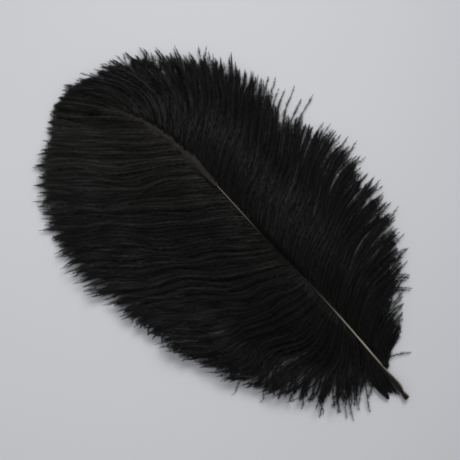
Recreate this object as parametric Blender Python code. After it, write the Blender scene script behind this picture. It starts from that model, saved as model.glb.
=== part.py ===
"""Ostrich plume, dyed black, lying top side up on a flat surface.

The feather is one grown thing with three parts that differ in shape and make:

  shaft       the hollow quill at the root, running on as the solid tapering rachis
  left_vane   the long barbs that grow from the left side of the rachis
  right_vane  the shorter barbs that grow from its right side

Lengths are given in millimetres and turned to metres when the meshes are made.
The design is worked out on the shaft's own line, with the cut end of the quill at
(0, 0) and the tip towards +Y, and is then moved so that the middle of its box stands
over the world's origin, with the resting surface at z = 0.
"""
import math

import bmesh
import bpy
import numpy as np
from mathutils import Vector

MM = 0.001
CLEARANCE = 0.4          # gap kept between a vane and the shaft

# ---- the shaft -----------------------------------------------------------------------
# Plan of its middle line: straight for most of its length, then bowed to the left.
SHAFT_PLAN = [(0.0, 0.0), (2.1, 75.0), (0.5, 124.0), (0.0, 180.0), (-0.9, 200.0),
              (-3.6, 218.0), (-8.0, 232.0), (-15.2, 245.0), (-25.0, 255.0)]
# Height of its middle line: (distance along the shaft, height).
SHAFT_HEIGHT = [(0, 1.8), (8, 2.1), (20, 2.4), (45, 4.3), (85, 7.6), (130, 10.4),
                (175, 11.2), (215, 9.8), (245, 7.4), (262, 5.8)]
# Half its width: flared cut end, waist, swollen quill, long taper to a hair.
SHAFT_RADIUS = [(0, 1.75), (2, 1.7), (4.5, 1.15), (8, 1.95), (13, 1.8), (20, 1.3), (30, 1.1),
                (50, 0.86), (90, 0.7), (140, 0.56), (190, 0.42), (230, 0.27), (262, 0.12)]
# The hollow that the cut end shows: (depth, half its width).
QUILL_BORE = [(3.2, 0.55), (0.0, 1.15)]
RACHIS_START = 26        # where the round quill ends and the groove under the rachis begins
GROOVE_DEPTH = 0.45      # of the half width
SHAFT_SIDES = 14
SHAFT_STEP = 4.0         # distance between two rings of the rachis
QUILL_STEP = 1.5         # and between two rings of the quill

# ---- the barbs -----------------------------------------------------------------------
# Each row is a barb: where it leaves the shaft, the directions that it takes at its
# root, at one third, at two thirds and at its end, in degrees from the tip's direction
# outwards, and its length. The barbs between two rows follow from both.
LEFT_BARBS = [
    (24, 150, 125, 105, 100, 12), (36, 155, 145, 130, 120, 27), (48, 150, 140, 132, 128, 38),
    (57, 140, 130, 122, 122, 48), (63, 130, 113, 106, 110, 56), (69, 120, 100, 88, 84, 66),
    (75, 105, 85, 75, 72, 75), (87, 95, 72, 60, 62, 93), (102, 70, 60, 55, 62, 106),
    (120, 55, 55, 50, 60, 116), (138, 50, 54, 47, 57, 118), (156, 48, 55, 46, 54, 115),
    (174, 48, 57, 46, 48, 104), (192, 48, 55, 45, 46, 90), (207, 52, 50, 44, 43, 76),
    (222, 50, 47, 42, 40, 62), (236, 45, 42, 40, 38, 48), (249, 45, 42, 40, 38, 33),
    (258, 44, 42, 40, 38, 23)]
RIGHT_BARBS = [
    (18, 45, 55, 60, 65, 12), (27, 42, 60, 70, 75, 28), (36, 42, 62, 75, 80, 44),
    (45, 45, 65, 78, 80, 55), (54, 45, 65, 80, 80, 61), (63, 45, 66, 80, 70, 65),
    (72, 45, 66, 72, 60, 70), (84, 47, 66, 66, 62, 73), (96, 47, 66, 60, 62, 75),
    (108, 45, 67, 56, 57, 76), (123, 42, 66, 54, 50, 76), (140, 45, 64, 50, 47, 75),
    (156, 48, 64, 49, 45, 73), (171, 50, 62, 46, 42, 69), (186, 50, 58, 40, 35, 63),
    (195, 50, 54, 33, 25, 58), (203, 48, 45, 20, 10, 56), (211, 45, 30, 0, -15, 55),
    (220, 38, 15, -20, -30, 51), (229, 25, -5, -30, -38, 46), (238, 5, -20, -38, -42, 40),
    (248, -20, -32, -40, -40, 32), (258, -44, -42, -40, -38, 23)]

VANE_INNER_THICKNESS = 3.4   # bed of barbs beside the shaft
VANE_OUTER_THICKNESS = 2.6   # and at its outer edge
VANE_BELOW_SHAFT = 1.3       # underside of the bed, below the shaft's middle line
VANE_TOUCHDOWN = 0.6         # part of a barb's length that is arched; the rest lies flat
VANE_ROWS = 40               # faces along the shaft
VANE_COLUMNS = 12            # faces along a barb
BARB_STEPS = 36              # steps in which a barb's plan is walked

LEFT, RIGHT = -1, 1


# ---- curves --------------------------------------------------------------------------
def smooth(stations, values, where):
    """Value at `where` on a smooth curve through values given at stations."""
    slopes = np.gradient(values, stations)
    i = int(np.clip(np.searchsorted(stations, where, "right") - 1, 0, len(stations) - 2))
    gap = stations[i + 1] - stations[i]
    t = min(max((where - stations[i]) / gap, 0.0), 1.0)
    rise = (2 * t**3 - 3 * t**2 + 1) * values[i] + (3 * t**2 - 2 * t**3) * values[i + 1]
    bend = (t**3 - 2 * t**2 + t) * slopes[i] + (t**3 - t**2) * slopes[i + 1]
    return float(rise + bend * gap)


def read(table, where, column=1):
    """One column of a table, read between its rows."""
    rows = np.array(table, dtype=float)
    return smooth(rows[:, 0], rows[:, column], where)


def spaced(low, high, step):
    """Evenly spaced values from low to high, about step apart."""
    return np.linspace(low, high, max(2, round((high - low) / step) + 1))


PLAN = np.array(SHAFT_PLAN)
PLAN_DISTANCE = np.concatenate([[0.0], np.cumsum(np.hypot(*np.diff(PLAN, axis=0).T))])
SHAFT_LENGTH = float(PLAN_DISTANCE[-1])


def shaft_point(distance):
    """The shaft's middle line, in millimetres."""
    x = smooth(PLAN_DISTANCE, PLAN[:, 0], distance)
    y = smooth(PLAN_DISTANCE, PLAN[:, 1], distance)
    return Vector((x, y, read(SHAFT_HEIGHT, distance)))


def shaft_axes(distance):
    """Forward, right and up directions of the shaft."""
    ahead = shaft_point(min(distance + 1, SHAFT_LENGTH))
    behind = shaft_point(max(distance - 1, 0))
    forward = (ahead - behind).normalized()
    right = forward.cross(Vector((0, 0, 1))).normalized()
    return forward, right, right.cross(forward)


def barb_plan(table, side, root):
    """Points of one barb's plan from the shaft outwards, as an array of x and y."""
    headings = [read(table, root, column) for column in (1, 2, 3, 4)]
    step = read(table, root, 5) / BARB_STEPS
    thirds = np.array([0, 1 / 3, 2 / 3, 1])
    middle = shaft_point(root)
    right = shaft_axes(root)[1]
    start = middle + side * (read(SHAFT_RADIUS, root) + CLEARANCE) * right
    points = [(start.x, start.y)]
    for i in range(BARB_STEPS):
        heading = math.radians(smooth(thirds, np.array(headings), (i + 0.5) / BARB_STEPS))
        x, y = points[-1]
        points.append((x + side * math.sin(heading) * step, y + math.cos(heading) * step))
    return np.array(points)


def underside(root, along):
    """Height of the bed's underside: arched beside the shaft, flat on the surface beyond."""
    top = max(read(SHAFT_HEIGHT, root) - VANE_BELOW_SHAFT, 0.0)
    if along >= VANE_TOUCHDOWN:
        return 0.0
    return top * 0.5 * (1 + math.cos(math.pi * along / VANE_TOUCHDOWN))


# ---- building ------------------------------------------------------------------------
def clear_scene():
    for thing in list(bpy.data.objects):
        bpy.data.objects.remove(thing, do_unlink=True)


def material(name, colour, roughness):
    new = bpy.data.materials.new(name)
    new.use_nodes = True
    shader = new.node_tree.nodes["Principled BSDF"]
    shader.inputs["Base Color"].default_value = (*colour, 1)
    shader.inputs["Roughness"].default_value = roughness
    new.diffuse_color = (*colour, 1)
    return new


def add_part(name, mesh_maker, finish, collection):
    mesh = bpy.data.meshes.new(name)
    mesh_maker.to_mesh(mesh)
    mesh_maker.free()
    mesh.materials.append(finish)
    part = bpy.data.objects.new(name, mesh)
    collection.objects.link(part)
    return part


def shaft_ring(maker, distance, radius, groove):
    """One closed section of the shaft, with a groove along its underside."""
    centre = shaft_point(distance)
    _, right, up = shaft_axes(distance)
    ring = []
    for i in range(SHAFT_SIDES):
        angle = 2 * math.pi * i / SHAFT_SIDES + math.pi / 2
        lift = groove * radius * max(0.0, -math.sin(angle)) ** 6
        offset = right * (radius * math.cos(angle)) + up * (radius * math.sin(angle) + lift)
        ring.append(maker.verts.new((centre + offset) * MM))
    return ring


def build_shaft(finish, collection):
    """A loft of rings: out of the bore, over the cut end, along the quill and the rachis."""
    maker = bmesh.new()
    rings = [shaft_ring(maker, depth, radius, 0.0) for depth, radius in QUILL_BORE]
    quill = list(spaced(0, RACHIS_START, QUILL_STEP))
    rachis = list(spaced(RACHIS_START, SHAFT_LENGTH, SHAFT_STEP))[1:]
    for distance in quill + rachis:
        grown = min(max(distance - RACHIS_START, 0) / RACHIS_START, 1)
        radius = read(SHAFT_RADIUS, distance)
        rings.append(shaft_ring(maker, distance, radius, GROOVE_DEPTH * grown))
    for near, far in zip(rings, rings[1:]):
        for i in range(SHAFT_SIDES):
            j = (i + 1) % SHAFT_SIDES
            maker.faces.new((near[i], near[j], far[j], far[i]))
    maker.faces.new(rings[0])
    maker.faces.new(reversed(rings[-1]))
    bmesh.ops.recalc_face_normals(maker, faces=maker.faces)
    shaft = add_part("shaft", maker, finish, collection)
    shaft.data.shade_smooth()
    shaft.data.set_sharp_from_angle(angle=math.radians(50))
    return shaft


def build_vane(name, table, side, finish, collection):
    """The bed that the barbs fill: a grid combed like the barbs, then extruded upwards."""
    maker = bmesh.new()
    bmesh.ops.create_grid(maker, x_segments=VANE_ROWS, y_segments=VANE_COLUMNS, size=0.5)
    roots = np.linspace(table[0][0], table[-1][0], VANE_ROWS + 1)
    plans = [barb_plan(table, side, root) for root in roots]
    walked = np.linspace(0, 1, BARB_STEPS + 1)
    thickness = {}
    for vertex in maker.verts:
        row = round((vertex.co.x + 0.5) * VANE_ROWS)
        along = vertex.co.y + 0.5
        x = np.interp(along, walked, plans[row][:, 0])
        y = np.interp(along, walked, plans[row][:, 1])
        vertex.co = Vector((x, y, underside(roots[row], along))) * MM
        depth = VANE_INNER_THICKNESS + (VANE_OUTER_THICKNESS - VANE_INNER_THICKNESS) * along
        thickness[vertex.co.to_tuple(6)] = depth
    raised = bmesh.ops.extrude_face_region(maker, geom=maker.faces[:])["geom"]
    for vertex in raised:
        if isinstance(vertex, bmesh.types.BMVert):
            vertex.co.z += thickness[vertex.co.to_tuple(6)] * MM
    bmesh.ops.recalc_face_normals(maker, faces=maker.faces)
    vane = add_part(name, maker, finish, collection)
    vane.data.shade_smooth()
    vane.data.set_sharp_from_angle(angle=math.radians(50))
    return vane


def stand_over_origin(parts):
    """Move the meshes so that the middle of their common box is over the origin."""
    points = np.array([vertex.co for part in parts for vertex in part.data.vertices])
    middle = (points.min(axis=0) + points.max(axis=0)) / 2
    for part in parts:
        for vertex in part.data.vertices:
            vertex.co.x -= middle[0]
            vertex.co.y -= middle[1]
    print("quill end at", [round(-float(v) / MM, 2) for v in middle[:2]], "mm")


def main():
    clear_scene()
    collection = bpy.data.collections.new("ostrich_feather")
    bpy.context.scene.collection.children.link(collection)
    keratin = material("dyed quill keratin", (0.035, 0.03, 0.026), 0.35)
    down = material("dyed ostrich barbs", (0.008, 0.008, 0.008), 0.8)
    parts = [build_shaft(keratin, collection),
             build_vane("left_vane", LEFT_BARBS, LEFT, down, collection),
             build_vane("right_vane", RIGHT_BARBS, RIGHT, down, collection)]
    stand_over_origin(parts)


main()
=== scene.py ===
# %% [markdown]
# # A dyed ostrich plume, lying on a pale table
#
# An ostrich feather has no hooks to zip its barbs together. Each barb hangs free, with
# long soft barbules along both edges, so the plume looks like fur and not like a sheet.
# This lesson grows those barbs one by one around a plain model of the feather: a shaft
# and two solid beds that mark the room for the barbs.

import math
from types import SimpleNamespace

import bpy
import numpy as np
from mathutils import Matrix, Vector


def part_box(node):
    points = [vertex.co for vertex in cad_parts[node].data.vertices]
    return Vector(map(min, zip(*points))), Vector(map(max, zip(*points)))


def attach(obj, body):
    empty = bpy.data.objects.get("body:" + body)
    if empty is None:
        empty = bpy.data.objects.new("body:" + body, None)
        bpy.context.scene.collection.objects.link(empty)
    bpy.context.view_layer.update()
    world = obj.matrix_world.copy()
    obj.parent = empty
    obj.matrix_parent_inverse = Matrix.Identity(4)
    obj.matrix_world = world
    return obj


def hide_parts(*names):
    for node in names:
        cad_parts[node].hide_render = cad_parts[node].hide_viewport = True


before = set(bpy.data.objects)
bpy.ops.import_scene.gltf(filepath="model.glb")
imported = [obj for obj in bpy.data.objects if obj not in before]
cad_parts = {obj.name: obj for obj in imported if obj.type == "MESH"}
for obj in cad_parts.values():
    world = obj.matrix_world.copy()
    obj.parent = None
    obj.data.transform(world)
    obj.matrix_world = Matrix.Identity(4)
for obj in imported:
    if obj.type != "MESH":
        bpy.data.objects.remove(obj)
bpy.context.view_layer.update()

# %% [markdown]
# Feathers are measured in millimetres and Blender works in metres. The plume is worked
# out on its own line first: the cut end of the quill is at (0, 0) and the tip lies
# towards +Y. A few points in plan, heights and radii are enough, with a smooth curve
# through them.

# %% The shaft's line
MM = 0.001
SHAFT_PLAN = np.array([
    (0, 0), (2.1, 75), (0.5, 124), (0, 180), (-0.9, 200), (-3.6, 218),
    (-8, 232), (-15.2, 245), (-25, 255)])
SHAFT_HEIGHT = np.array([  # distance from the quill's end, height
    (0, 1.8), (8, 2.1), (20, 2.4), (45, 4.3), (85, 7.6), (130, 10.4), (175, 11.2),
    (215, 9.8), (245, 7.4), (262, 5.8)])
SHAFT_RADIUS = np.array([  # distance, radius
    (0, 1.9), (2, 1.85), (4.5, 1.35), (8, 2.25), (13, 2.05), (20, 1.4), (30, 1.1),
    (50, 0.86), (90, 0.7), (140, 0.56), (190, 0.42), (230, 0.27), (262, 0.12)])


def smooth(stations, values, where):
    """Read a smooth curve that passes through values given at stations."""
    stations = np.asarray(stations, float)
    values = np.asarray(values, float)
    where = np.asarray(where, float)
    slopes = np.gradient(values, stations, axis=0)
    i = np.clip(np.searchsorted(stations, where, "right") - 1, 0, len(stations) - 2)
    gap = stations[i + 1] - stations[i]
    t = np.clip((where - stations[i]) / gap, 0, 1)
    if values.ndim > 1:
        t, gap = t[..., None], gap[..., None]
    rise = (2 * t**3 - 3 * t**2 + 1) * values[i] + (3 * t**2 - 2 * t**3) * values[i + 1]
    bend = (t**3 - 2 * t**2 + t) * slopes[i] + (t**3 - t**2) * slopes[i + 1]
    return rise + bend * gap


def ease(low, high, value):
    """A soft step from 0 at low to 1 at high. It falls where low is the larger one."""
    t = np.clip((np.asarray(value, float) - low) / (high - low), 0, 1)
    return t * t * (3 - 2 * t)


plan_steps = np.hypot(*np.diff(SHAFT_PLAN, axis=0).T)
PLAN_DISTANCE = np.concatenate([[0], np.cumsum(plan_steps)])
SHAFT_LENGTH = PLAN_DISTANCE[-1]


def shaft_plan(distance):
    return smooth(PLAN_DISTANCE, SHAFT_PLAN, distance)


def shaft_height(distance):
    return smooth(*SHAFT_HEIGHT.T, distance)


def shaft_radius(distance):
    return smooth(*SHAFT_RADIUS.T, distance)


def shaft_right(distance):
    """Direction across the shaft, to its right, in plan."""
    ahead = shaft_plan(np.minimum(distance + 1, SHAFT_LENGTH))
    behind = shaft_plan(np.maximum(distance - 1, 0))
    along = ahead - behind
    along = along / np.linalg.norm(along, axis=-1, keepdims=True)
    return np.stack([along[..., 1], -along[..., 0]], axis=-1)


print(f"shaft length along its line: {SHAFT_LENGTH:.1f} mm")

# %% [markdown]
# The plain model stands centred over the origin. Two of its measures say where the
# quill's end is: the shaft's lowest Y, and its highest X less the shaft's own reach.

# %% Where the quill's end is in the frame
shaft_low, shaft_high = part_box("shaft")
stations = np.linspace(0, SHAFT_LENGTH, 400)
reach = float((shaft_plan(stations)[:, 0] + shaft_radius(stations)).max())
QUILL_END = np.array([shaft_high.x / MM - reach, shaft_low.y / MM, 0.0])
print("quill end at, mm:", QUILL_END.round(2))

# %% [markdown]
# Combing comes next. Each row describes one barb: where it leaves the shaft, its
# direction at the root, at one third, at two thirds and at its end, in degrees from the
# tip's direction outwards, and its length. At the base the barbs sweep back towards the
# quill, in the middle they stand out at fifty degrees, and near the tip those of the
# right side curl over to the left.

# %% The combing tables
LEFT, RIGHT = -1, 1
BARBS = {
    LEFT: np.array([
        (24, 150, 125, 105, 100, 12), (36, 155, 145, 130, 120, 27),
        (48, 150, 140, 132, 128, 38), (57, 140, 130, 122, 122, 48),
        (63, 130, 113, 106, 110, 56), (69, 120, 100, 88, 84, 66),
        (75, 105, 85, 75, 72, 75), (87, 95, 72, 60, 62, 93), (102, 70, 60, 55, 62, 106),
        (120, 55, 55, 50, 60, 116), (138, 50, 54, 47, 57, 118),
        (156, 48, 55, 46, 54, 115), (174, 48, 57, 46, 48, 104),
        (192, 48, 55, 45, 46, 90), (207, 52, 50, 44, 43, 76), (222, 50, 47, 42, 40, 62),
        (236, 45, 42, 40, 38, 48), (249, 45, 42, 40, 38, 33), (258, 44, 42, 40, 38, 23)]),
    RIGHT: np.array([
        (18, 48, 58, 66, 74, 20), (27, 45, 62, 73, 84, 31), (36, 42, 62, 76, 90, 44),
        (45, 45, 65, 78, 98, 55), (54, 45, 65, 80, 100, 61), (63, 45, 66, 78, 98, 65),
        (72, 45, 66, 74, 92, 70), (84, 47, 66, 68, 88, 73), (96, 47, 66, 62, 84, 75),
        (108, 45, 67, 57, 70, 76), (123, 42, 66, 54, 60, 76), (140, 45, 64, 50, 52, 75),
        (156, 48, 64, 49, 48, 73), (171, 50, 62, 46, 43, 69), (186, 50, 58, 40, 35, 63),
        (195, 50, 54, 33, 25, 58), (203, 48, 45, 20, 10, 56), (211, 45, 30, 0, -15, 55),
        (220, 38, 15, -20, -30, 51), (229, 25, -5, -30, -38, 46),
        (238, 5, -20, -38, -42, 40), (248, -20, -32, -40, -40, 32),
        (258, -44, -42, -40, -38, 23)]),
}

# %% [markdown]
# From a table comes a map of the whole vane: a grid of points, with one row for each
# root position and one column for each step along a barb. Any barb is then a path on
# this map, and a bunch is several paths that lean together. The map also keeps how far
# apart the barbs fan out, and they are spaced by that, because the real plume is about
# equally dense all over.

# %% A map of each vane
MAP_ROWS = 240
MAP_STEPS = 48
MAP_REACH = 1.35  # how far the map goes on past a barb's usual end
COVER_FROM, COVER_TO = 176, 200  # where the barbs begin to close over the shaft


class VaneMap:
    """Where a barb with a given root is, at a given share of its length."""

    def __init__(self, side):
        table = BARBS[side]
        self.first, self.last = table[0, 0], table[-1, 0]
        self.roots = np.linspace(self.first, self.last, MAP_ROWS)
        headings = smooth(table[:, 0], table[:, 1:5], self.roots)
        self.lengths = smooth(table[:, 0], table[:, 5], self.roots)
        steps = int(MAP_STEPS * MAP_REACH)
        middles = np.minimum((np.arange(steps) + 0.5) / MAP_STEPS, 1)
        heading = np.radians(smooth([0, 1 / 3, 2 / 3, 1], headings.T, middles)).T
        step = self.lengths[:, None] / MAP_STEPS
        covered = ease(COVER_FROM, COVER_TO, self.roots)
        offset = side * shaft_radius(self.roots) * (0.8 - 1.6 * covered)
        start = shaft_plan(self.roots) + offset[:, None] * shaft_right(self.roots)
        across = start[:, :1] + np.cumsum(side * np.sin(heading) * step, axis=1)
        forward = start[:, 1:] + np.cumsum(np.cos(heading) * step, axis=1)
        self.x = np.concatenate([start[:, :1], across], axis=1)
        self.y = np.concatenate([start[:, 1:], forward], axis=1)
        x, y = self.at(self.roots, np.full(MAP_ROWS, 0.85))
        spread = 0.3 * np.diff(self.roots) + 0.7 * np.hypot(np.diff(x), np.diff(y))
        self.places = np.concatenate([[0], np.cumsum(spread)])

    def at(self, root, along):
        row = (np.asarray(root) - self.first) / (self.last - self.first) * (MAP_ROWS - 1)
        row = np.clip(row, 0, MAP_ROWS - 1.001)
        column = np.clip(np.asarray(along) * MAP_STEPS, 0, self.x.shape[1] - 1.001)
        i, j = row.astype(int), column.astype(int)
        a, b = row - i, column - j
        result = []
        for grid in (self.x, self.y):
            near = grid[i, j] * (1 - b) + grid[i, j + 1] * b
            far = grid[i + 1, j] * (1 - b) + grid[i + 1, j + 1] * b
            result.append(near * (1 - a) + far * a)
        return result

    def length(self, root):
        return np.interp(root, self.roots, self.lengths)

    def root_at(self, place):
        return np.interp(place, self.places, self.roots)


vane_map = {side: VaneMap(side) for side in (LEFT, RIGHT)}
print("widest reach, mm:", round(float(-vane_map[LEFT].x.min())), "left,",
      round(float(vane_map[RIGHT].x.max())), "right")

# %% [markdown]
# Barbs cling together. Two or three neighbours make a strand all the way from the shaft,
# about two strands end in one pointed tuft, and some fifteen barbs lift and sink as a
# lock. The bunches are drawn once for each vane, so that both coats follow the same ones.

# %% Bunches of barbs
STRAND = 2.7  # mean widths of a strand, a tuft and a lock
TUFT = {LEFT: 4.8, RIGHT: 5.6}
LOCK = 15.0
UNEQUAL = (0.6, 1.4)  # narrowest and widest bunch, as shares of the mean


class Bunches:
    """Neighbouring bunches of about one width, all along a vane."""

    def __init__(self, vane, width, rng):
        count = int(vane.places[-1] / width * 1.6) + 2
        widths = width * rng.uniform(*UNEQUAL, count)
        self.edges = np.concatenate([[0], np.cumsum(widths)])
        self.root = vane.root_at((self.edges[1:] + self.edges[:-1]) / 2)
        self.value = rng.uniform(-1, 1, count)

    def find(self, places):
        """Each barb's bunch, and its place there: -1 at the lower edge, 1 at the upper."""
        number = np.searchsorted(self.edges, places, "right") - 1
        low, high = self.edges[number], self.edges[number + 1]
        return number, (2 * places - low - high) / (high - low)


bunches = {}
for side in (LEFT, RIGHT):
    rng = np.random.default_rng(70 + side)
    bunches[side] = [Bunches(vane_map[side], width, rng)
                     for width in (STRAND, TUFT[side], LOCK)]
    print(len(bunches[side][0].root), "strands and", len(bunches[side][1].root), "tufts")

# %% [markdown]
# The barbs grow in two coats. The topcoat has the fine ones that catch the light. The
# undercoat has fewer and broader ones and makes the plume opaque, as hundreds of
# thousands of finer barbules do on the real one. The same steps make both, so a coat is
# no more than a set of values.

# %% Two coats of barbs
COATS = {
    "top": {"spacing": 0.95,     # between barbs, mm
            "segment": 0.25,     # between the barbules of a barb, mm
            "ribbon": 0.13,      # half the width of a barb, mm
            "barbule": 2.7,      # length of a barbule, mm
            "low": 0.35,         # lowest layer: 0 is the table
            "high": 1.0,         # highest layer: 1 is the top of the bed
            "held_back": 0.0,    # how far its ends stay inside, in notches
            "stray": 0.12,       # share of barbs that stand out
            "bare_tip": 0.45,    # how much shorter the barbules are at the tip
            "thin_tip": 0.25,    # share of barbules that the tip has lost
            "clings": 1.0,       # how much a barb follows its bunches
            "beading": 0.5},     # how much the barbules stand out in small waves
    "under": {"spacing": 1.15, "segment": 0.55, "ribbon": 0.28, "barbule": 3.3,
              "low": 0.0, "high": 0.55, "held_back": 0.22, "stray": 0.0,
              "bare_tip": 0.7, "thin_tip": 0.0, "clings": 0.6, "beading": 0.0}}
print("coats:", ", ".join(COATS))

# %% [markdown]
# Nothing trims the outline of a plume: it is where the longest barbs happen to end. So
# it is made from lengths. The middle barbs of a tuft are the longest, which gives the
# edge its soft points, and a few strays stand out past the rest.

# %% Where the barbs start and how long they are
GROWTH = {  # how long the down grows at each root, as a share of the plain bed's reach
    LEFT: np.array([(24, 0.84), (34, 0.74), (46, 0.8), (57, 0.9), (66, 0.98), (72, 1.0),
                    (83, 1.03), (100, 1.03), (118, 1.04), (135, 1.02), (150, 0.99),
                    (163, 0.98), (185, 1.01), (207, 1.01), (258, 1.0)]),
    RIGHT: np.array([(18, 1.0), (24, 0.93), (29, 0.86), (38, 0.84), (46, 0.9), (54, 0.97),
                     (70, 0.96), (90, 1.0), (110, 1.02), (120, 0.97), (131, 0.88),
                     (142, 0.91), (150, 0.92), (165, 1.0), (180, 1.04), (200, 1.07),
                     (215, 1.09), (235, 1.04), (258, 1.02)])}
NOTCH = {  # how deep the gaps between the tufts cut in at each root, in mm
    LEFT: np.array([(24, 3), (34, 7), (58, 8), (75, 5), (120, 4.5), (180, 4.5), (258, 3)]),
    RIGHT: np.array([(18, 5), (28, 7), (45, 7), (70, 8.5), (110, 8.5), (150, 8.5), (185, 8),
                     (215, 6), (258, 3)])}
UNEVEN = {LEFT: 0.022, RIGHT: 0.04}  # how much neighbouring barbs differ in length
BARE_QUILL = {LEFT: 24, RIGHT: 21}  # no barbs below this
LONGEST_STRAY = 2.0  # no barb ends farther than this past the tufts
JITTER = 0.4  # how uneven the spacing is


def loose_edge(side, root):
    """1 where strays are more and longer: the left vane's foot, most of the right edge."""
    if side == LEFT:
        return ease(75, 50, root)
    return ease(20, 50, root) * ease(185, 160, root)


def start_barbs(side, coat, rng):
    """One coat's barbs: where each starts, its bunches, and its share of the length."""
    vane = vane_map[side]
    strands, tufts, locks = bunches[side]
    count = int(vane.places[-1] / coat["spacing"])
    jitter = rng.uniform(-JITTER, JITTER, count)
    places = (np.arange(count) + 0.5 + jitter) / count * vane.places[-1]
    places = places[vane.root_at(places) > BARE_QUILL[side]]
    b = SimpleNamespace(count=len(places), root=vane.root_at(places))
    b.strand, b.in_strand = strands.find(places)
    b.tuft, in_tuft = tufts.find(places)
    b.lock, _ = locks.find(places)
    b.usual = vane.length(b.root)
    loose = loose_edge(side, b.root)
    notch = smooth(*NOTCH[side].T, b.root) / b.usual
    grown = smooth(*GROWTH[side].T, b.root)
    b.stretch = 1 + UNEVEN[side] * rng.standard_normal(b.count)
    b.stretch *= grown
    b.stretch += notch * (0.5 - np.abs(in_tuft) - coat["held_back"] + 0.3 * tufts.value[b.tuft])
    b.stretch += 0.6 * UNEVEN[side] * locks.value[b.lock]
    b.stray = rng.random(b.count) < coat["stray"] * (1 + 1.2 * loose)
    out = notch * (rng.uniform(0, 0.35, b.count) + loose * rng.uniform(0, 0.4, b.count))
    b.stretch = np.where(b.stray, np.maximum(b.stretch, 1) + out, b.stretch)
    b.stretch = np.minimum(b.stretch, grown + notch + LONGEST_STRAY / b.usual)
    return b


print("deepest gap between tufts, mm:", NOTCH[LEFT][:, 1].max(), "left,",
      NOTCH[RIGHT][:, 1].max(), "right")

# %% [markdown]
# Each barb has habits of its own: the layer of the bed that it lies in, its waves and
# its twist, and how well it holds to its neighbours. Then it is cut into steps, one for
# each pair of barbules. All barbs share the same long arrays, because one sum over a
# million numbers is far quicker than a loop.

# %% Habits, and steps along each barb
CROWDED = 0.88  # less than 1 sets the barbules closer together towards the ends
FEWEST_STEPS = 10


def give_habits(b, coat, rng):
    """What each barb does by itself."""
    place = np.clip(0.5 + 0.33 * rng.standard_normal(b.count), 0, 1)
    b.layer = coat["low"] + (coat["high"] - coat["low"]) * place
    b.wave = rng.uniform(0, 2 * math.pi, (6, b.count))
    b.wander = rng.uniform(0.2, 1.0, b.count) ** 1.5
    b.twist = rng.standard_normal(b.count)
    b.grip = 0.6 + 0.4 * rng.random(b.count)
    b.hook = rng.standard_normal(b.count)


def cut_into_steps(b, coat):
    """Points along every barb: its barb, and how far out it is in three measures."""
    length = b.usual * b.stretch
    b.segments = np.maximum((length / coat["segment"]).astype(int), FEWEST_STEPS)
    b.barb = np.repeat(np.arange(b.count), b.segments + 1)
    b.first = np.concatenate([[0], np.cumsum(b.segments + 1)[:-1]])
    b.along = ((np.arange(len(b.barb)) - b.first[b.barb]) / b.segments[b.barb]) ** CROWDED
    b.travelled = b.along * length[b.barb]  # millimetres from the shaft
    b.outward = b.along * b.stretch[b.barb]  # share of the usual length


print("steps in 100 mm:", {name: round(100 / coat["segment"]) for name, coat in COATS.items()})

# %% [markdown]
# A barb's way is a path on the vane's map. It leans towards the middle of its strand
# and, near its end, of its tuft. It drifts and flutters by itself, and sways with its
# neighbours, because barbs that lie together are pressed into the same waves.

# %% The way of each barb over the table
PULL = 0.32  # how far a barb leans towards the middle of its strand
HOLD = 0.5  # how far its end leans towards the middle of its tuft
DRIFT, FLUTTER = 1.0, 0.5  # its own slow and quick bends, mm
SWAY = {LEFT: 1.0, RIGHT: 0.6}  # the bends that all neighbours share, mm
HOOK = 1.1  # how far the last bit of a barb turns aside, mm


def lay_out(side, coat, b):
    """X and Y of every point."""
    strands, tufts, _ = bunches[side]
    barb, travelled = b.barb, b.travelled
    root = b.root[barb]
    free = coat["clings"] * np.where(b.stray, 0.1, 1)[barb]
    pull = PULL * ease(40, 80, root)
    path = root + free * pull * ease(4, 30, travelled) * (strands.root[b.strand] - b.root)[barb]
    hold = HOLD * ease(0.87, 1.03, b.outward) * b.grip[barb]
    path = path + free * hold * (tufts.root[b.tuft][barb] - path)
    drift = np.sin(travelled / 15 + b.wave[0, barb]) - np.sin(b.wave[0, barb])
    flutter = np.sin(travelled / (3.2 + 2.4 * b.grip[barb]) + b.wave[1, barb])
    looseness = b.wander[barb] * ease(2, 30, travelled) * (1 + ease(0.6, 1, b.along))
    path = path + looseness * (DRIFT * drift + FLUTTER * flutter)
    sway = np.sin(travelled / 12 + root / 7) + 0.7 * np.sin(travelled / 6.5 - root / 11 + 2)
    path = path + SWAY[side] * sway * ease(6, 30, travelled)
    path = path + HOOK * b.hook[barb] * ease(0.8, 1.1, b.outward)
    return vane_map[side].at(path, b.outward)


print("leaning to the strand", PULL, "and to the tuft", HOLD)

# %% [markdown]
# Seen from the side, a barb leaves the shaft's flank and arches down to the table. There
# it lies somewhere in the bed, which swells where strands and locks are full. At the
# lower left the springy ends stand off the table and throw a shadow.

# %% The height of each barb
TOUCHDOWN = 0.62  # share of a barb's length that is arched
BED = {LEFT: 5.0, RIGHT: 5.4}  # depth of the bed of barbs
RAISED_EDGE = {LEFT: 4.0, RIGHT: 0.0}  # how far the springy ends stand off the table
CROWN, SWELL, RIPPLE = 0.42, 0.65, 0.2  # rise of a strand, a lock and a single barb
DOWNY_SHAFT = (80, 100, 142, 126)  # here the shaft sinks into the barbs' own down


def downy(root):
    """1 where the middle of the shaft hides in down."""
    return ease(*DOWNY_SHAFT[:2], root) * ease(*DOWNY_SHAFT[2:], root)


def edge_rise(root):
    """Share of the rise at the ends of the barbs: most at the lower middle."""
    return ease(25, 60, root) * ease(150, 85, root)


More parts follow.
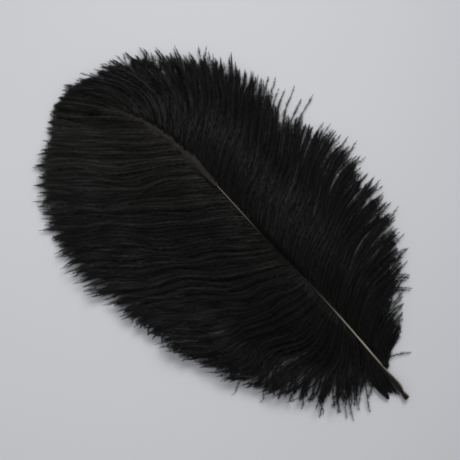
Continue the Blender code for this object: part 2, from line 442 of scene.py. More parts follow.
def lift(side, b, rng):
    """Z of every point."""
    locks = bunches[side][2]
    barb, travelled = b.barb, b.travelled
    root = b.root[barb]
    arch = 0.5 * (1 + np.cos(math.pi * np.clip(b.along / TOUCHDOWN, 0, 1)))
    covered = ease(COVER_FROM, COVER_TO, root)
    at_root = shaft_height(root) + 0.3 * covered * shaft_radius(root)
    sunk = 0.6 * (1 - ease(0, 26, travelled)) * (1 - 0.6 * covered) * (1 - 0.8 * downy(root))
    bed = BED[side] * ease(-2, 5, travelled) * (1 - 0.3 * ease(0.75, 1, b.along))
    crown = CROWN * (1 - b.in_strand**2)[barb] * ease(3, 20, travelled)
    swell = SWELL * locks.value[b.lock][barb] * ease(4, 30, travelled)
    ripple = RIPPLE * np.sin(travelled / 5 + b.wave[2, barb]) * ease(2, 12, travelled)
    z = at_root * arch + bed * (b.layer[barb] - sunk) + crown + swell + ripple
    z = z + RAISED_EDGE[side] * edge_rise(root) * ease(0.5, 1, b.along)
    return np.maximum(z, 0.3 + 0.5 * rng.random(b.count)[barb])


print("depth of the bed, mm:", BED[LEFT], "left,", BED[RIGHT], "right")

# %% [markdown]
# Last come the barbules, which make a barb soft. They are short against the shaft, stand
# out in small waves, and grow short and few towards the barb's bare tip. Each barb also
# gets its tone: a random share of the dye, on top of painted shade that keeps the plume
# paler towards the tip, darkest in its lower half, and the right vane darker.

# %% Barbules and tone of each barb
PAINTED_SHADE_BY_ROOT = {  # painted shade: 0 is darkest and 1 palest; paler towards the tip, the right vane darker
    LEFT: np.array([(24, 0.25), (50, 0.1), (75, 0.08), (100, 0.36), (140, 0.54), (180, 0.64),
                    (210, 0.85), (258, 1.0)]),
    RIGHT: np.array([(18, 0.0), (60, 0.0), (110, 0.12), (150, 0.02), (180, 0.1),
                     (215, 0.35), (258, 0.5)])}
SHORT_AT_ROOT = 0.25  # share of a barbule's full length beside the shaft
BEAD_PITCH = 0.7  # length of the small waves of barbules, over two pi
LEAN = 12  # how far barbs at the sides of a strand roll outwards, degrees
TWIST, CURL = 8, 16  # how far a barb is rolled as a whole and by turns, degrees


def grow(side, coat, rng):
    """Points along every barb of one coat, with what the ribbons need to know."""
    b = start_barbs(side, coat, rng)
    give_habits(b, coat, rng)
    cut_into_steps(b, coat)
    x, y = lay_out(side, coat, b)
    z = lift(side, b, rng)

    barb, travelled, outward = b.barb, b.travelled, b.outward
    by_shaft = SHORT_AT_ROOT + 0.35 * downy(b.root[barb])
    reach = coat["barbule"] * (by_shaft + (1 - by_shaft) * ease(0.5, 5, travelled))
    reach *= 1 - coat["bare_tip"] * ease(0.9, 1.06, outward)
    beads = coat["beading"] * np.sin(travelled / BEAD_PITCH + b.wave[5, barb])
    beads = beads * (1 - 0.7 * ease(0.8, 1, outward))
    reach *= (1 + 0.25 * beads) * (1 - 0.8 * ease(0.95, 1, b.along))
    kept = 1 - coat["thin_tip"] * ease(0.86, 0.98, outward)
    roll = side * np.radians(LEAN) * b.in_strand[barb] + np.radians(TWIST) * b.twist[barb]
    roll += np.radians(CURL) * np.sin(travelled / 3.4 + b.wave[3, barb])
    # painted shade by root, then each barb's and each strand's own random tone
    tone = smooth(*PAINTED_SHADE_BY_ROOT[side].T, b.root)
    tone += (0.1 + 0.16 * tone) * rng.standard_normal(b.count)
    tone += 0.06 * bunches[side][0].value[b.strand]
    return vars(b) | {"line": np.stack([x, y, z], axis=1), "reach": reach, "kept": kept,
                      "roll": roll, "flare": 20 * ease(0.84, 1.0, outward) + 16 * beads,
                      "lift": 20 * np.sin(travelled / 0.9 + b.wave[4, barb]),
                      "ribbon": coat["ribbon"], "tone": np.clip(tone, 0.02, 0.98)}


print("barbules, mm:", {name: coat["barbule"] for name, coat in COATS.items()})

# %% [markdown]
# A barb is a flat ribbon, and each step of its two edges carries one barbule: a thin
# triangle that runs forward and outward. Joining each to its ribbon keeps a barb one
# connected mesh. Hair curves could draw the same, but they aren't meshes, so they would
# be lost when the plume is exported.

# %% Turn middle lines into ribbons with barbules
GROUND = 0.08  # nothing comes nearer to the table than this
SWEEP = (34, 9)  # a barbule's angle to its barb, and how much it varies, in degrees
TILT = (6, 14)  # its angle out of the ribbon's plane, and how much that varies
BARBULE_LENGTHS = (0.6, 1.15)  # shortest and longest, as shares of the reach


def unit(vectors):
    return vectors / np.maximum(np.linalg.norm(vectors, axis=1, keepdims=True), 1e-9)


def feathered(barbs, rng):
    """Vertices, triangles, and for each vertex its barb and its share of the length."""
    line, along, barb = barbs["line"], barbs["along"], barbs["barb"]
    count = len(line)
    number = np.arange(count)
    is_first = np.isin(number, barbs["first"])
    is_last = np.isin(number, barbs["first"] + barbs["segments"])
    tangent = unit(line[number + ~is_last] - line[number - ~is_first])
    across = unit(np.cross(tangent, [0.0, 0.0, 1.0]))
    above = np.cross(across, tangent)
    cos_roll, sin_roll = np.cos(barbs["roll"])[:, None], np.sin(barbs["roll"])[:, None]
    turned = across * cos_roll + above * sin_roll
    raised = above * cos_roll - across * sin_roll
    half_width = barbs["ribbon"] * (0.2 + 0.8 * (1 - along) ** 0.7)
    right_edge = line + turned * half_width[:, None]
    left_edge = line - turned * half_width[:, None]

    near = np.flatnonzero(~is_last)
    far = near + 1
    tips = []
    for edge, sign in ((right_edge, 1), (left_edge, -1)):
        size = barbs["reach"][near] * rng.uniform(*BARBULE_LENGTHS, len(near))
        sweep = SWEEP[0] + barbs["flare"][near] + SWEEP[1] * rng.standard_normal(len(near))
        sweep = np.radians(sweep)
        tilt = TILT[0] + barbs["lift"][near] + TILT[1] * rng.standard_normal(len(near))
        tilt = np.radians(tilt)
        out = turned[near] * (sign * np.cos(tilt))[:, None] + raised[near] * np.sin(tilt)[:, None]
        way = tangent[near] * np.cos(sweep)[:, None] + out * np.sin(sweep)[:, None]
        tips.append((edge[near] + edge[far]) / 2 + way * size[:, None])
    points = np.concatenate([right_edge, left_edge, *tips])
    points[:, 2] = np.maximum(points[:, 2], GROUND + 0.25 * rng.random(len(points)))
    tip = 2 * count + np.arange(len(near))
    hairs = np.concatenate([np.stack([near, tip, far], 1),
                            np.stack([far + count, tip + len(near), near + count], 1)])
    kept = rng.random(len(hairs)) < np.tile(barbs["kept"][near], 2)
    faces = np.concatenate([np.stack([near, far, far + count], 1),
                            np.stack([near, far + count, near + count], 1), hairs[kept]])
    owner = np.concatenate([barb, barb, barb[near], barb[near]])
    share = np.concatenate([along, along, along[near], along[near]])
    return points, faces, owner, share


print("barbules stand at", SWEEP[0], "degrees to their barb")

# %% [markdown]
# One mesh for all would be too heavy, so each coat is divided along the shaft, and every
# piece holds whole barbs. A UV map named strand tells the finish where it is: U runs
# along a barb, and V is the barb's own tone.

# %% Build the vanes
PIECES = {"top": {LEFT: ("base", "lower", "middle", "upper", "tip"),
                  RIGHT: ("base", "lower", "middle", "tip")},
          "under": {LEFT: ("down",), RIGHT: ("down",)}}
VANE_OF = {LEFT: "left", RIGHT: "right"}


def in_scene(name, data):
    new = bpy.data.objects.new(name, data)
    bpy.context.scene.collection.objects.link(new)
    return new


def make_mesh(name, points, faces, strand):
    """A mesh object from arrays: points in the plume's own millimetres."""
    mesh = bpy.data.meshes.new(name)
    mesh.vertices.add(len(points))
    mesh.vertices.foreach_set("co", ((points + QUILL_END) * MM).astype(np.float32).ravel())
    mesh.loops.add(faces.size)
    mesh.loops.foreach_set("vertex_index", faces.astype(np.int32).ravel())
    mesh.polygons.add(len(faces))
    mesh.polygons.foreach_set("loop_start", np.arange(0, faces.size, 3, dtype=np.int32))
    mesh.update(calc_edges=True)
    uv = mesh.uv_layers.new(name="strand")
    uv.data.foreach_set("uv", strand[faces.ravel()].astype(np.float32).ravel())
    print(name, len(faces), "triangles")
    return in_scene(name, mesh)


def barb_pieces(names, barbs, rng):
    """Whole barbs, as one mesh for each name."""
    points, faces, owner, share = feathered(barbs, rng)
    done = np.cumsum(barbs["segments"]) / barbs["segments"].sum()
    piece_of_barb = np.minimum((done * len(names)).astype(int), len(names) - 1)
    piece_of_face = piece_of_barb[owner[faces[:, 0]]]
    pieces = []
    for number, name in enumerate(names):
        chosen = faces[piece_of_face == number]
        used, inverse = np.unique(chosen, return_inverse=True)
        strand = np.stack([share[used], barbs["tone"][owner[used]]], axis=1)
        pieces.append(make_mesh(name, points[used], inverse.reshape(chosen.shape), strand))
    return pieces


def cut_alike(count, segments):
    """What barbs with the same number of steps have in common."""
    barb = np.repeat(np.arange(count), segments + 1)
    still = np.zeros(len(barb))
    return {"barb": barb, "along": np.tile(np.linspace(0, 1, segments + 1), count),
            "first": np.arange(count) * (segments + 1),
            "segments": np.full(count, segments), "flare": still, "lift": still}


vane_pieces = {LEFT: [], RIGHT: []}
for coat_name, coat in COATS.items():
    for side in (LEFT, RIGHT):
        rng = np.random.default_rng(31 + side + len(coat_name))
        barbs = grow(side, coat, rng)
        names = [f"{VANE_OF[side]}_barbs_{part}" for part in PIECES[coat_name][side]]
        vane_pieces[side] += barb_pieces(names, barbs, rng)

# %% [markdown]
# Where the barbs close over the shaft, their short downy bases show as a soft band. Its
# pale brown is painted sheen, the light off these upturned bases, palest along the band's
# middle. They lie almost along the shaft, on top of it. Most keep to the middle of the
# band, so that its sides fade into the vanes.

# %% The band of down over the shaft
BAND_WIDTH = np.array([(165, 0.4), (180, 0.9), (192, 2.6), (205, 3.0), (220, 2.6),
                       (238, 1.6), (252, 0.8), (262, 0.4)])
BAND_BARBS = 400
BAND_SEGMENTS = 22
BAND_STARTS = (170, 242)
BAND_BARB_LENGTHS = (8, 14)
BAND_SIDES = (-1.6, -0.1, 1.3)  # left side, fullest place and right side, in band widths


def band_lines(rng):
    start = np.sort(rng.uniform(*BAND_STARTS, BAND_BARBS))
    length = rng.uniform(*BAND_BARB_LENGTHS, BAND_BARBS)
    barbs = cut_alike(BAND_BARBS, BAND_SEGMENTS)
    barb, along = barbs["barb"], barbs["along"]
    distance = start[barb] + along * length[barb]
    aside = rng.triangular(*BAND_SIDES, BAND_BARBS)
    veer = rng.uniform(-0.9, 0.5, BAND_BARBS)
    spot = np.clip(aside[barb] + veer[barb] * along, -1.9, 1.1)
    lateral = spot * smooth(*BAND_WIDTH.T, distance)
    on_shaft = np.minimum(distance, SHAFT_LENGTH)
    plan = shaft_plan(on_shaft) + lateral[:, None] * shaft_right(on_shaft)
    top = shaft_height(distance) + shaft_radius(distance) + 0.9 * (1 - spot**2)
    z = top + (0.2 + 0.8 * rng.random(BAND_BARBS)[barb]) * ease(0, 0.3, along)
    # painted sheen: palest on the band's middle, darker towards its sides
    tone = 0.75 - 0.5 * np.abs(aside + 0.5 * veer) + 0.12 * rng.standard_normal(BAND_BARBS)
    return barbs | {"line": np.column_stack([plan, z]), "reach": np.full(len(barb), 2.0),
                    "kept": np.ones(len(barb)), "roll": np.radians(-25) * spot,
                    "ribbon": 0.1, "tone": np.clip(tone, 0, 1)}


rng = np.random.default_rng(12)
band = barb_pieces(["shaft_down"], band_lines(rng), rng)[0]

# %% [markdown]
# Below the first long barbs, the quill has a patch of short down on its left side. It
# hangs back along the quill as one dark lobe. Random directions would fray its end, so
# each barb is a smooth bow from its root to its own place on a given edge.

# %% The down beside the quill
LOBE_BARBS = 170
LOBE_SEGMENTS = 34
LOBE_ROOTS = (39, 17)  # from the lobe's outer side to the quill
LOBE_BOW = (-2.6, 1.2)  # how far the outermost barb bows out and up the plume
LOBE_ENDS = np.array([  # the lobe's edge, from its outer side to the quill
    (-10.2, 20.0), (-10.4, 12.0), (-9.9, 7.8), (-9.1, 6.4), (-7.8, 8.4), (-6.2, 8.9),
    (-4.9, 7.6), (-3.9, 5.6), (-2.6, 4.2)])


def quill_down_lines(rng):
    count = LOBE_BARBS
    place = np.sort(rng.random(count))
    root = LOBE_ROOTS[0] + (LOBE_ROOTS[1] - LOBE_ROOTS[0]) * place
    root = root + 2.0 * rng.standard_normal(count)
    start = shaft_plan(root) - 0.7 * shaft_radius(root)[:, None] * shaft_right(root)
    end = smooth(np.linspace(0, 1, len(LOBE_ENDS)), LOBE_ENDS, place)
    bow = np.column_stack([LOBE_BOW[0] * (1 - place), LOBE_BOW[1] * np.ones(count)])
    bow = bow + 0.7 * rng.standard_normal((count, 2))
    barbs = cut_alike(count, LOBE_SEGMENTS)
    barb, along = barbs["barb"], barbs["along"]
    done = (along * (1 - 0.5 * rng.random(count)[barb] ** 3))[:, None]
    plan = start[barb] * (1 - done) + end[barb] * done + 4 * bow[barb] * done * (1 - done)
    z = (shaft_height(root) + rng.uniform(-0.8, 0.9, count))[barb]
    z = z + 0.8 * np.sin(math.pi * along) - 1.2 * along
    return barbs | {"line": np.column_stack([plan, z]), "reach": 1.1 - 0.6 * along,
                    "kept": 1 - 0.3 * along, "roll": 0.5 * np.sin(8 * along + barb),
                    "lift": 15 * np.sin(20 * along + barb), "ribbon": 0.14,
                    "tone": np.clip(0.1 + 0.12 * rng.standard_normal(count), 0, 1)}


rng = np.random.default_rng(8)
vane_pieces[LEFT] += barb_pieces(["quill_down"], quill_down_lines(rng), rng)

# %% [markdown]
# The last barbs are the strays that the eye remembers. Long thin ones stand out past
# both edges. A loose thread lies to the right of the quill, a few strands hang out under
# the left vane, pointed ones stick out at the lower right, and a small curled tuft marks
# where the right vane begins. Those that stand out follow the vane's map, and the others
# are spirals or smooth lines through four points.

# %% Single strands
STANDING_OUT = {  # root, and reach as a share of the plain bed's
    RIGHT: [(147, 1.16), (135, 1.2), (126, 1.23), (130, 1.14), (157, 1.07), (144, 1.1),
            (140, 1.13), (152, 1.12), (116, 1.1), (112, 1.1), (95, 1.12), (80, 1.08)],
    LEFT: [(52, 1.28), (56, 1.15), (60, 1.14), (64, 1.08), (70, 1.12), (73, 1.16)]}
SINGLE_STRANDS = [  # the thread, the five under the left vane, the six at the lower right
    ((2, 27, 2.6), (8, 25.4, 2.4), (14, 22.4, 1.4), (19.7, 18.6, 1)),
    ((-9, 30, 3.5), (-15, 21, 3.6), (-20, 13.5, 2.5), (-22.7, 8.4, 1.2)),
    ((-16, 38, 3.5), (-24, 27, 3.2), (-30, 18, 2), (-33.7, 11.1, 1)),
    ((-19, 41, 3), (-27, 33, 3), (-33, 25.5, 2), (-36.5, 20, 0.8)),
    ((-12, 36, 3), (-19, 26, 3.2), (-24, 19, 2.2), (-26.8, 13.6, 1)),
    ((-25, 44, 3), (-35, 36, 2.6), (-43, 29.6, 1.6), (-47.5, 26.5, 0.8)),
    ((30, 66, 1.6), (37, 63.5, 2.2), (44, 59.5, 2.4), (50.2, 53.2, 1.2)),
    ((30, 63, 1.6), (36, 61.5, 2.2), (43, 57.8, 2.4), (49, 52.4, 1.5)),
    ((29, 61.5, 1.4), (35, 60, 2.2), (41, 56.8, 2.4), (46.6, 52.4, 1.5)),
    ((28, 58.5, 1.4), (34, 56.5, 2), (40, 52.6, 2.2), (45.8, 46.4, 1)),
    ((27, 56, 1.4), (33, 54.5, 2), (39, 51, 2.2), (44.6, 46.2, 1.4)),
    ((27, 57, 1.4), (32, 55.8, 2), (38, 52.8, 2.2), (43, 48.4, 1.4)),
]
CURLS = 9
CURL_CENTRE = (3.2, 23.6, 2.6)
CURL_RADII = (0.2, 1.5)
STRAND_SEGMENTS = 110
STANDING_HEIGHT, STANDING_DROP = 5.5, 4.0  # those that stand out come down by this
share = np.linspace(0, 1, STRAND_SEGMENTS + 1)


def drawn_strand(points):
    points = np.array(points)
    steps = np.linspace(0, len(points) - 1, STRAND_SEGMENTS + 1)
    return smooth(np.arange(len(points)), points, steps)


def curl(radius, rng):
    angle = rng.uniform(0, 2 * math.pi) + 4.5 * share
    rise = rng.uniform(-0.8, 0.8) + 0.5 * np.sin(angle)
    spiral = np.column_stack([radius * np.cos(angle), 1.4 * radius * np.sin(angle), rise])
    return spiral + CURL_CENTRE


def standing_out(side, root, stretch, rng):
    """The outer half of one long barb."""
    outward = stretch * (0.5 + 0.5 * share)
    bend = rng.uniform(-1, 1) * np.sin(4 * share + rng.uniform(0, 6)) * share
    x, y = vane_map[side].at(root + bend - 2 * ease(0.6, 1, share), outward)
    return np.column_stack([x, y, STANDING_HEIGHT - STANDING_DROP * ease(0, 1, share)])


def single_lines(rng):
    lines = [drawn_strand(points) for points in SINGLE_STRANDS]
    lines += [curl(radius, rng) for radius in np.linspace(*CURL_RADII, CURLS)]
    lines += [standing_out(side, root, stretch, rng)
              for side, rows in STANDING_OUT.items() for root, stretch in rows]
    barbs = cut_alike(len(lines), STRAND_SEGMENTS)
    barb, along = barbs["barb"], barbs["along"]
    return barbs | {"line": np.concatenate(lines),
                    "reach": (2.5 - 1.1 * along) * (1 - 0.85 * ease(0.93, 1, along)),
                    "kept": 0.75 - 0.25 * along, "roll": 0.4 * np.sin(9 * along + barb),
                    "flare": 10 + 14 * along, "ribbon": 0.22,
                    "tone": np.full(len(lines), 0.3)}


rng = np.random.default_rng(5)
singles = barb_pieces(["single_strands"], single_lines(rng), rng)[0]
vane_pieces[LEFT].append(singles)

# %% [markdown]
# The shaft is one long piece of keratin, thick and hollow at the quill and hair-thin at
# the tip. A turned profile couldn't follow its bend, so a section with shallow flutes
# and the groove of the underside is swept along the shaft's line, with a radius at every
# point. Then it is made a mesh, and the cut end is inset and pushed in to open the bore.

# %% Sweep the shaft
SHAFT_STATIONS = np.concatenate([np.arange(0, 24, 0.75), np.arange(24, SHAFT_LENGTH, 3.0),
                                 [SHAFT_LENGTH]])
SECTION_POINTS = 42
FLUTES = 7  # shallow flutes along the quill
FLUTE_DEPTH = 0.06  # as a share of the radius
GROOVE = 0.45  # depth of the groove under the shaft, as a share of the radius
BORE_WALL = 0.5  # wall left around the bore at the cut end
BORE_DEPTH = 3.0
BORE_TAPER = 0.6  # width at the bottom of the bore, as a share of its mouth
QUILL_HOOK = 0.6  # the cut end stands this far to the left of the shaft's line
HOOK_FROM, HOOK_TO = 1, 12


def drawn_line(distance):
    """The shaft's line in plan, with the small hook at the quill's end."""
    hook = QUILL_HOOK * (1 - ease(HOOK_FROM, HOOK_TO, distance))
    return shaft_plan(distance) - np.stack([hook, 0 * hook], axis=-1)


def shaft_section():
    """An outline one millimetre in radius, with the flutes and the groove."""
    section_data = bpy.data.curves.new("shaft_section", "CURVE")
    section_data.dimensions = "2D"
    ring = section_data.splines.new("POLY")
    ring.points.add(SECTION_POINTS - 1)
    for i, point in enumerate(ring.points):
        angle = 2 * math.pi * i / SECTION_POINTS
        flute = FLUTE_DEPTH * (0.5 + 0.5 * math.cos(FLUTES * angle))
        groove = GROOVE * max(0.0, -math.sin(angle)) ** 8
        x = math.cos(angle) * (1 - flute)
        z = math.sin(angle) * (1 - groove - flute)
        point.co = (MM * x, MM * z, 0, 1)
    ring.use_cyclic_u = True
    return in_scene("shaft_section", section_data)


def swept_shaft():
    """The section swept along the shaft's line, as a mesh."""
    section = shaft_section()
    line_data = bpy.data.curves.new("shaft_line", "CURVE")
    line_data.dimensions = "3D"
    line_data.twist_mode = "Z_UP"
    line_data.bevel_mode = "OBJECT"
    line_data.bevel_object = section
    line_data.use_fill_caps = True
    spline = line_data.splines.new("POLY")
    spline.points.add(len(SHAFT_STATIONS) - 1)
    for point, distance in zip(spline.points, SHAFT_STATIONS):
        plan = drawn_line(distance) + QUILL_END[:2]
        point.co = (plan[0] * MM, plan[1] * MM, float(shaft_height(distance)) * MM, 1)
        point.radius = float(shaft_radius(distance))
    piece = in_scene("dyed_shaft", line_data)
    bpy.ops.object.select_all(action="DESELECT")
    piece.select_set(True)
    bpy.context.view_layer.objects.active = piece
    bpy.ops.object.convert(target="MESH")
    bpy.data.objects.remove(section, do_unlink=True)
    return piece


def open_the_bore(piece):
    """Inset the cut end and push the middle in along the quill."""
    bpy.ops.object.mode_set(mode="EDIT")
    bpy.ops.mesh.select_mode(type="FACE")
    bpy.ops.mesh.select_all(action="SELECT")
    bpy.ops.mesh.remove_doubles(threshold=0.00001)
    bpy.ops.mesh.select_all(action="DESELECT")
    bpy.ops.object.mode_set(mode="OBJECT")
    for face in piece.data.polygons:
        at_the_end = face.center.y < (QUILL_END[1] + 0.2) * MM
        face.select = bool(at_the_end and abs(face.normal.y) > 0.9)
    bpy.ops.object.mode_set(mode="EDIT")
    bpy.ops.mesh.inset(thickness=BORE_WALL * MM)
    bpy.ops.mesh.extrude_region_move(
        TRANSFORM_OT_translate={"value": (0, BORE_DEPTH * MM, 0.1 * MM)})
    bpy.ops.transform.resize(value=(BORE_TAPER, 1.0, BORE_TAPER))
    bpy.ops.mesh.select_all(action="SELECT")
    bpy.ops.mesh.normals_make_consistent(inside=False)
    bpy.ops.object.mode_set(mode="OBJECT")
    bpy.ops.object.shade_smooth_by_angle(angle=math.radians(50))


def strand_map_of_shaft(piece):
    """U is the distance along the shaft; V goes round it, 0.5 on top, more to the right."""
    mesh = piece.data
    points = np.empty(len(mesh.vertices) * 3)
    mesh.vertices.foreach_get("co", points)
    points = points.reshape(-1, 3) / MM - QUILL_END
    stations = np.linspace(0, SHAFT_LENGTH, 2000)
    line = drawn_line(stations)
    gaps = ((points[:, None, :2] - line[None]) ** 2).sum(axis=2)
    nearest = stations[gaps.argmin(axis=1)]
    sideways = ((points[:, :2] - drawn_line(nearest)) * shaft_right(nearest)).sum(axis=1)
    up = points[:, 2] - shaft_height(nearest)
    turn = 0.5 + 0.5 * np.arctan2(sideways, up) / math.pi
    corners = np.empty(len(mesh.loops), np.int32)
    mesh.loops.foreach_get("vertex_index", corners)
    for layer in list(mesh.uv_layers):
        mesh.uv_layers.remove(layer)
    uv = mesh.uv_layers.new(name="strand")
    both = np.column_stack([nearest / SHAFT_LENGTH, turn])
    uv.data.foreach_set("uv", both[corners].astype(np.float32).ravel())


dyed_shaft = swept_shaft()
open_the_bore(dyed_shaft)
strand_map_of_shaft(dyed_shaft)
print("shaft:", len(dyed_shaft.data.polygons), "faces")

# %% [markdown]
# Finishes are built from shader nodes. One helper turns an sRGB hex colour into the
# linear numbers that Blender works in, one adds any node with its settings and links,
# and short forms of it make the nodes that come up again and again.

# %% Helpers for finishes
def linear(hex_colour):
    """An sRGB hex colour as linear RGBA."""
    parts = [int(hex_colour[i:i + 2], 16) / 255 for i in (1, 3, 5)]
    return [p / 12.92 if p <= 0.04045 else ((p + 0.055) / 1.055) ** 2.4 for p in parts] + [1]


def new_material(name):
    material = bpy.data.materials.new(name)
    material.use_nodes = True
    material.node_tree.nodes.clear()
    return material


def node(material, kind, settings=None, **links):
    """Add a node. Settings are properties; links are input values or output sockets."""
    new = material.node_tree.nodes.new(kind)
    for key, value in (settings or {}).items():
        setattr(new, key, value)
    for key, value in links.items():
        socket = new.inputs[int(key[1:]) if key[0] == "_" else key.replace("_", " ")]
        if isinstance(value, bpy.types.NodeSocket):
            material.node_tree.links.new(value, socket)
        else:
            socket.default_value = value
    return new


def ramp(material, factor, stops):
    """A colour ramp through (position, colour) stops."""
    new = node(material, "ShaderNodeValToRGB", _0=factor)
    while len(new.color_ramp.elements) < len(stops):
        new.color_ramp.elements.new(0.5)
    for element, (position, colour) in zip(new.color_ramp.elements, stops):
        element.position = position
        element.color = linear(colour)
    return new.outputs["Color"]


def strand_parts(material):
    """The piece's own strand map, and its U and V."""
    strand = node(material, "ShaderNodeUVMap", {"uv_map": "strand"})
    split = node(material, "ShaderNodeSeparateXYZ", Vector=strand.outputs["UV"])
    return strand.outputs["UV"], split.outputs["X"], split.outputs["Y"]


def sums(material, operation, *values):
    """One step of arithmetic on shader values."""
    links = {f"_{i}": value for i, value in enumerate(values)}
    return node(material, "ShaderNodeMath", {"operation": operation}, **links).outputs[0]


def blend(material, factor, colour, other):
    """From one colour to another by a factor from 0 to 1."""
    mixed = node(material, "ShaderNodeMix", {"data_type": "RGBA", "blend_type": "MIX"},
                 _0=factor, _6=colour, _7=other)
    return mixed.outputs[2]


def step(material, value, low, high, at_low, at_high, kind="LINEAR"):
    """A value that goes from at_low to at_high while another goes from low to high."""
    stepped = node(material, "ShaderNodeMapRange", {"interpolation_type": kind},
                   Value=value, _1=low, _2=high, _3=at_low, _4=at_high)
    return stepped.outputs["Result"]


def surface(material, colour, roughness, ior, gloss=0.5):
    """The shader itself, joined to the material's output."""
    shader = node(material, "ShaderNodeBsdfPrincipled", Base_Color=colour,
                  Roughness=roughness, IOR=ior, Specular_IOR_Level=gloss)
    node(material, "ShaderNodeOutputMaterial", Surface=shader.outputs["BSDF"])


print("middle grey in linear numbers:", linear("#808080"))

# %% [markdown]
# The down is keratin, boiled in black acid dye. The dye sits inside the fibre, so the
# colour is deep and the gloss faint. Fibres take it unevenly: each barb has its own
# tone, with painted shade in it, and its base is a little browner than its end, which is
# painted sheen. The strand map carries both, so one finish serves every vane piece, and
# a paler brown one, painted sheen, the band over the shaft.

# %% Finish: black down and brown down, with painted shade and sheen
def down_with_dye_and_sheen(name, tones, along_barb_base_sheen):
    """Down whose colour is half by the barb's own tone and half by the place along it."""
    m = new_material(name)
    _, along, tone = strand_parts(m)
    colour = blend(m, 0.5, ramp(m, tone, tones), ramp(m, along, along_barb_base_sheen))
    surface(m, colour, roughness=0.5, ior=1.55, gloss=0.06)
    return m


black_down = down_with_dye_and_sheen(
    "acid-dyed ostrich down with painted shade and sheen",
    [(0.0, "#080808"), (0.5, "#181817"), (1.0, "#34332f")],
    # the browner barb base is painted sheen
    [(0.0, "#1a1715"), (0.12, "#151413"), (0.4, "#181817"), (1.0, "#191919")])
# pale brown band: painted sheen off the barb bases over the shaft
band_sheen_down = down_with_dye_and_sheen(
    "pale brown down over the shaft, painted sheen",
    [(0.0, "#1b1917"), (0.5, "#312e2b"), (1.0, "#45413e")],
    [(0.0, "#322e2b"), (1.0, "#272422")])
for side, pieces in vane_pieces.items():
    for piece in pieces:
        piece.data.materials.append(black_down)
        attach(piece, "root")
        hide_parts("left_vane" if side == LEFT else "right_vane")
band.data.materials.append(band_sheen_down)
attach(band, "root")
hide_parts("left_vane", "right_vane")
print("black down on", sum(len(pieces) for pieces in vane_pieces.values()), "pieces")

# %% [markdown]
# The shaft is smooth keratin, dyed dark. A pale line along its top for two thirds of its
# length, set a little to the right towards the softbox and brightest in two glints, is
# painted highlight; the two thin wavering pale streaks on the dark quill are painted
# highlights too. The strand map says where the top is.

# %% Finish: keratin shaft
# painted highlight along the shaft's top: two pale glints with dark between them
HIGHLIGHT_ALONG_SHAFT = [
    (0.0, "#0c0b0a"), (0.06, "#12100e"), (0.09, "#5a544b"), (0.15, "#938b7d"),
    (0.2, "#7a7367"), (0.235, "#6c655c"), (0.27, "#453f39"), (0.33, "#1a1714"),
    (0.46, "#0e0c0b"), (0.5, "#1b1816"), (0.54, "#3a3530"), (0.58, "#595249"),
    (0.65, "#595249"), (0.7, "#38322e"), (1.0, "#2b2623")]
SIDE_COLOUR = "#12100e"
# painted highlight colour of the quill's two streaks
QUILL_HIGHLIGHT_COLOUR = "#9a9284"
LINE_AT = (0.65, 0.53)  # V of the pale line's middle, at the quill and farther on
STREAK_MIDDLE = 0.48  # V halfway between the two streaks
STREAK_APART = 0.11  # how far each is from there
STREAK_WAVER = 0.1


def keratin():
    m = new_material("dyed keratin with painted highlights")
    uv, along, turn = strand_parts(m)
    # painted highlight: a pale line along the top, set to the right of it
    middle = step(m, along, 0.08, 0.28, *LINE_AT)
    aside = sums(m, "ABSOLUTE", sums(m, "SUBTRACT", turn, middle))
    side = step(m, aside, 0.08, 0.18, 0.0, 1.0, "SMOOTHSTEP")
    lined = blend(m, side, ramp(m, along, HIGHLIGHT_ALONG_SHAFT), linear(SIDE_COLOUR))

    # painted highlights on the quill: two thin wavering pale streaks
    stretched = node(m, "ShaderNodeMapping", Vector=uv, Scale=(30, 6, 1))
    waver = node(m, "ShaderNodeTexNoise", Vector=stretched.outputs["Vector"], Scale=1.0,
                 Detail=1.0)
    from_middle = sums(m, "ABSOLUTE", sums(m, "SUBTRACT", turn, STREAK_MIDDLE))
    wavered = sums(m, "MULTIPLY_ADD", waver.outputs[0], -STREAK_WAVER, from_middle)
    from_streak = sums(m, "ABSOLUTE", sums(m, "SUBTRACT", wavered, STREAK_APART))
    streak = step(m, from_streak, 0.015, 0.04, 1.0, 0.0, "SMOOTHSTEP")
    on_quill = step(m, along, 0.07, 0.1, 0.75, 0.0)
    streaked = blend(m, sums(m, "MULTIPLY", streak, on_quill), lined, linear(QUILL_HIGHLIGHT_COLOUR))
    surface(m, streaked, roughness=0.45, ior=1.5, gloss=0.2)
    return m


dyed_shaft.data.materials.append(keratin())
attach(dyed_shaft, "root")
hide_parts("shaft")
print("shaft finish:", dyed_shaft.data.materials[0].name)

# %% [markdown]
# The plume lies on a sheet of pale matt card, so large that no edge of it shows.

# %% The card under the plume
CARD_COLOUR = "#d2d2d4"
CARD_SIZE = 6
bpy.ops.mesh.primitive_plane_add(size=CARD_SIZE, location=(0, 0, 0))
floor = bpy.context.object
floor.name = "table"
pale_card = new_material("pale card")
surface(pale_card, linear(CARD_COLOUR), roughness=0.9, ior=1.45)
floor.data.materials.append(pale_card)
print("card:", CARD_SIZE, "m wide")

# %% [markdown]
# The camera looks straight down, turned so that the plume lies aslant with its tip at
# the upper left. A long lens from farther off keeps the plume's edges from leaning.

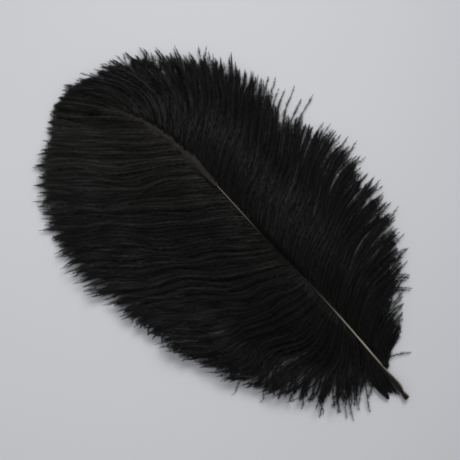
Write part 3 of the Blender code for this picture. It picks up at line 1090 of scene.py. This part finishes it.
# %% Camera
VIEW_CENTRE = np.array([-11.6, 145.8, 0.0])  # what the camera looks at, on the plume's line
FIELD = 276.0  # width of the view at the table
IMAGE_UP = math.atan2(-0.6715, 0.7410)  # turn of the picture about Z
SENSOR, LENS = 36, 100
camera_data = bpy.data.cameras.new("camera")
camera_data.sensor_width = SENSOR
camera_data.lens = LENS
camera = in_scene("camera", camera_data)
target = Vector((VIEW_CENTRE + QUILL_END) * MM)
camera_height = FIELD * MM / SENSOR * LENS
camera.location = target + Vector((0, 0, camera_height))
camera.rotation_euler = (0, 0, IMAGE_UP)
bpy.context.scene.camera = camera
print(f"camera {camera_height:.3f} m above the card")

# %% [markdown]
# Black down shows its shape only by soft reflections and by the shadow under it. One
# softbox beyond the top of the picture, a little to the right, throws a short shadow
# to the lower left. A pale, slightly cool sky fills the rest.

# %% Softbox and sky
SOFTBOX_SIZE, SOFTBOX_POWER, SOFTBOX_SPREAD = 0.6, 1.0, 52
SKY_COLOUR = (0.93, 0.95, 1.0, 1)
SKY_STRENGTH = 0.44
SOFTBOX_PLACE = Vector((0.20, 0.75, 0.78))  # right, up and out of the picture, m
SOFTBOX_AIM = Vector((-0.09, -0.01, 0))
turn = Matrix.Rotation(IMAGE_UP, 3, "Z")
place = target + turn @ SOFTBOX_PLACE
aim = target + turn @ SOFTBOX_AIM
lamp_data = bpy.data.lights.new("softbox", "AREA")
lamp_data.shape = "DISK"
lamp_data.size = SOFTBOX_SIZE
lamp_data.energy = SOFTBOX_POWER
lamp_data.spread = math.radians(SOFTBOX_SPREAD)
lamp = in_scene("softbox", lamp_data)
lamp.location = place
lamp.rotation_euler = (aim - place).to_track_quat("-Z", "Y").to_euler()
world = bpy.data.worlds.new("studio")
bpy.context.scene.world = world
world.use_nodes = True
sky = world.node_tree.nodes["Background"]
sky.inputs["Color"].default_value = SKY_COLOUR
sky.inputs["Strength"].default_value = SKY_STRENGTH
bpy.context.scene.view_settings.view_transform = "Standard"
print(f"softbox {(place - target).length:.2f} m from the plume")

# %% [markdown]
# The loose ends pass the plain box by a little, and nothing goes below the card.
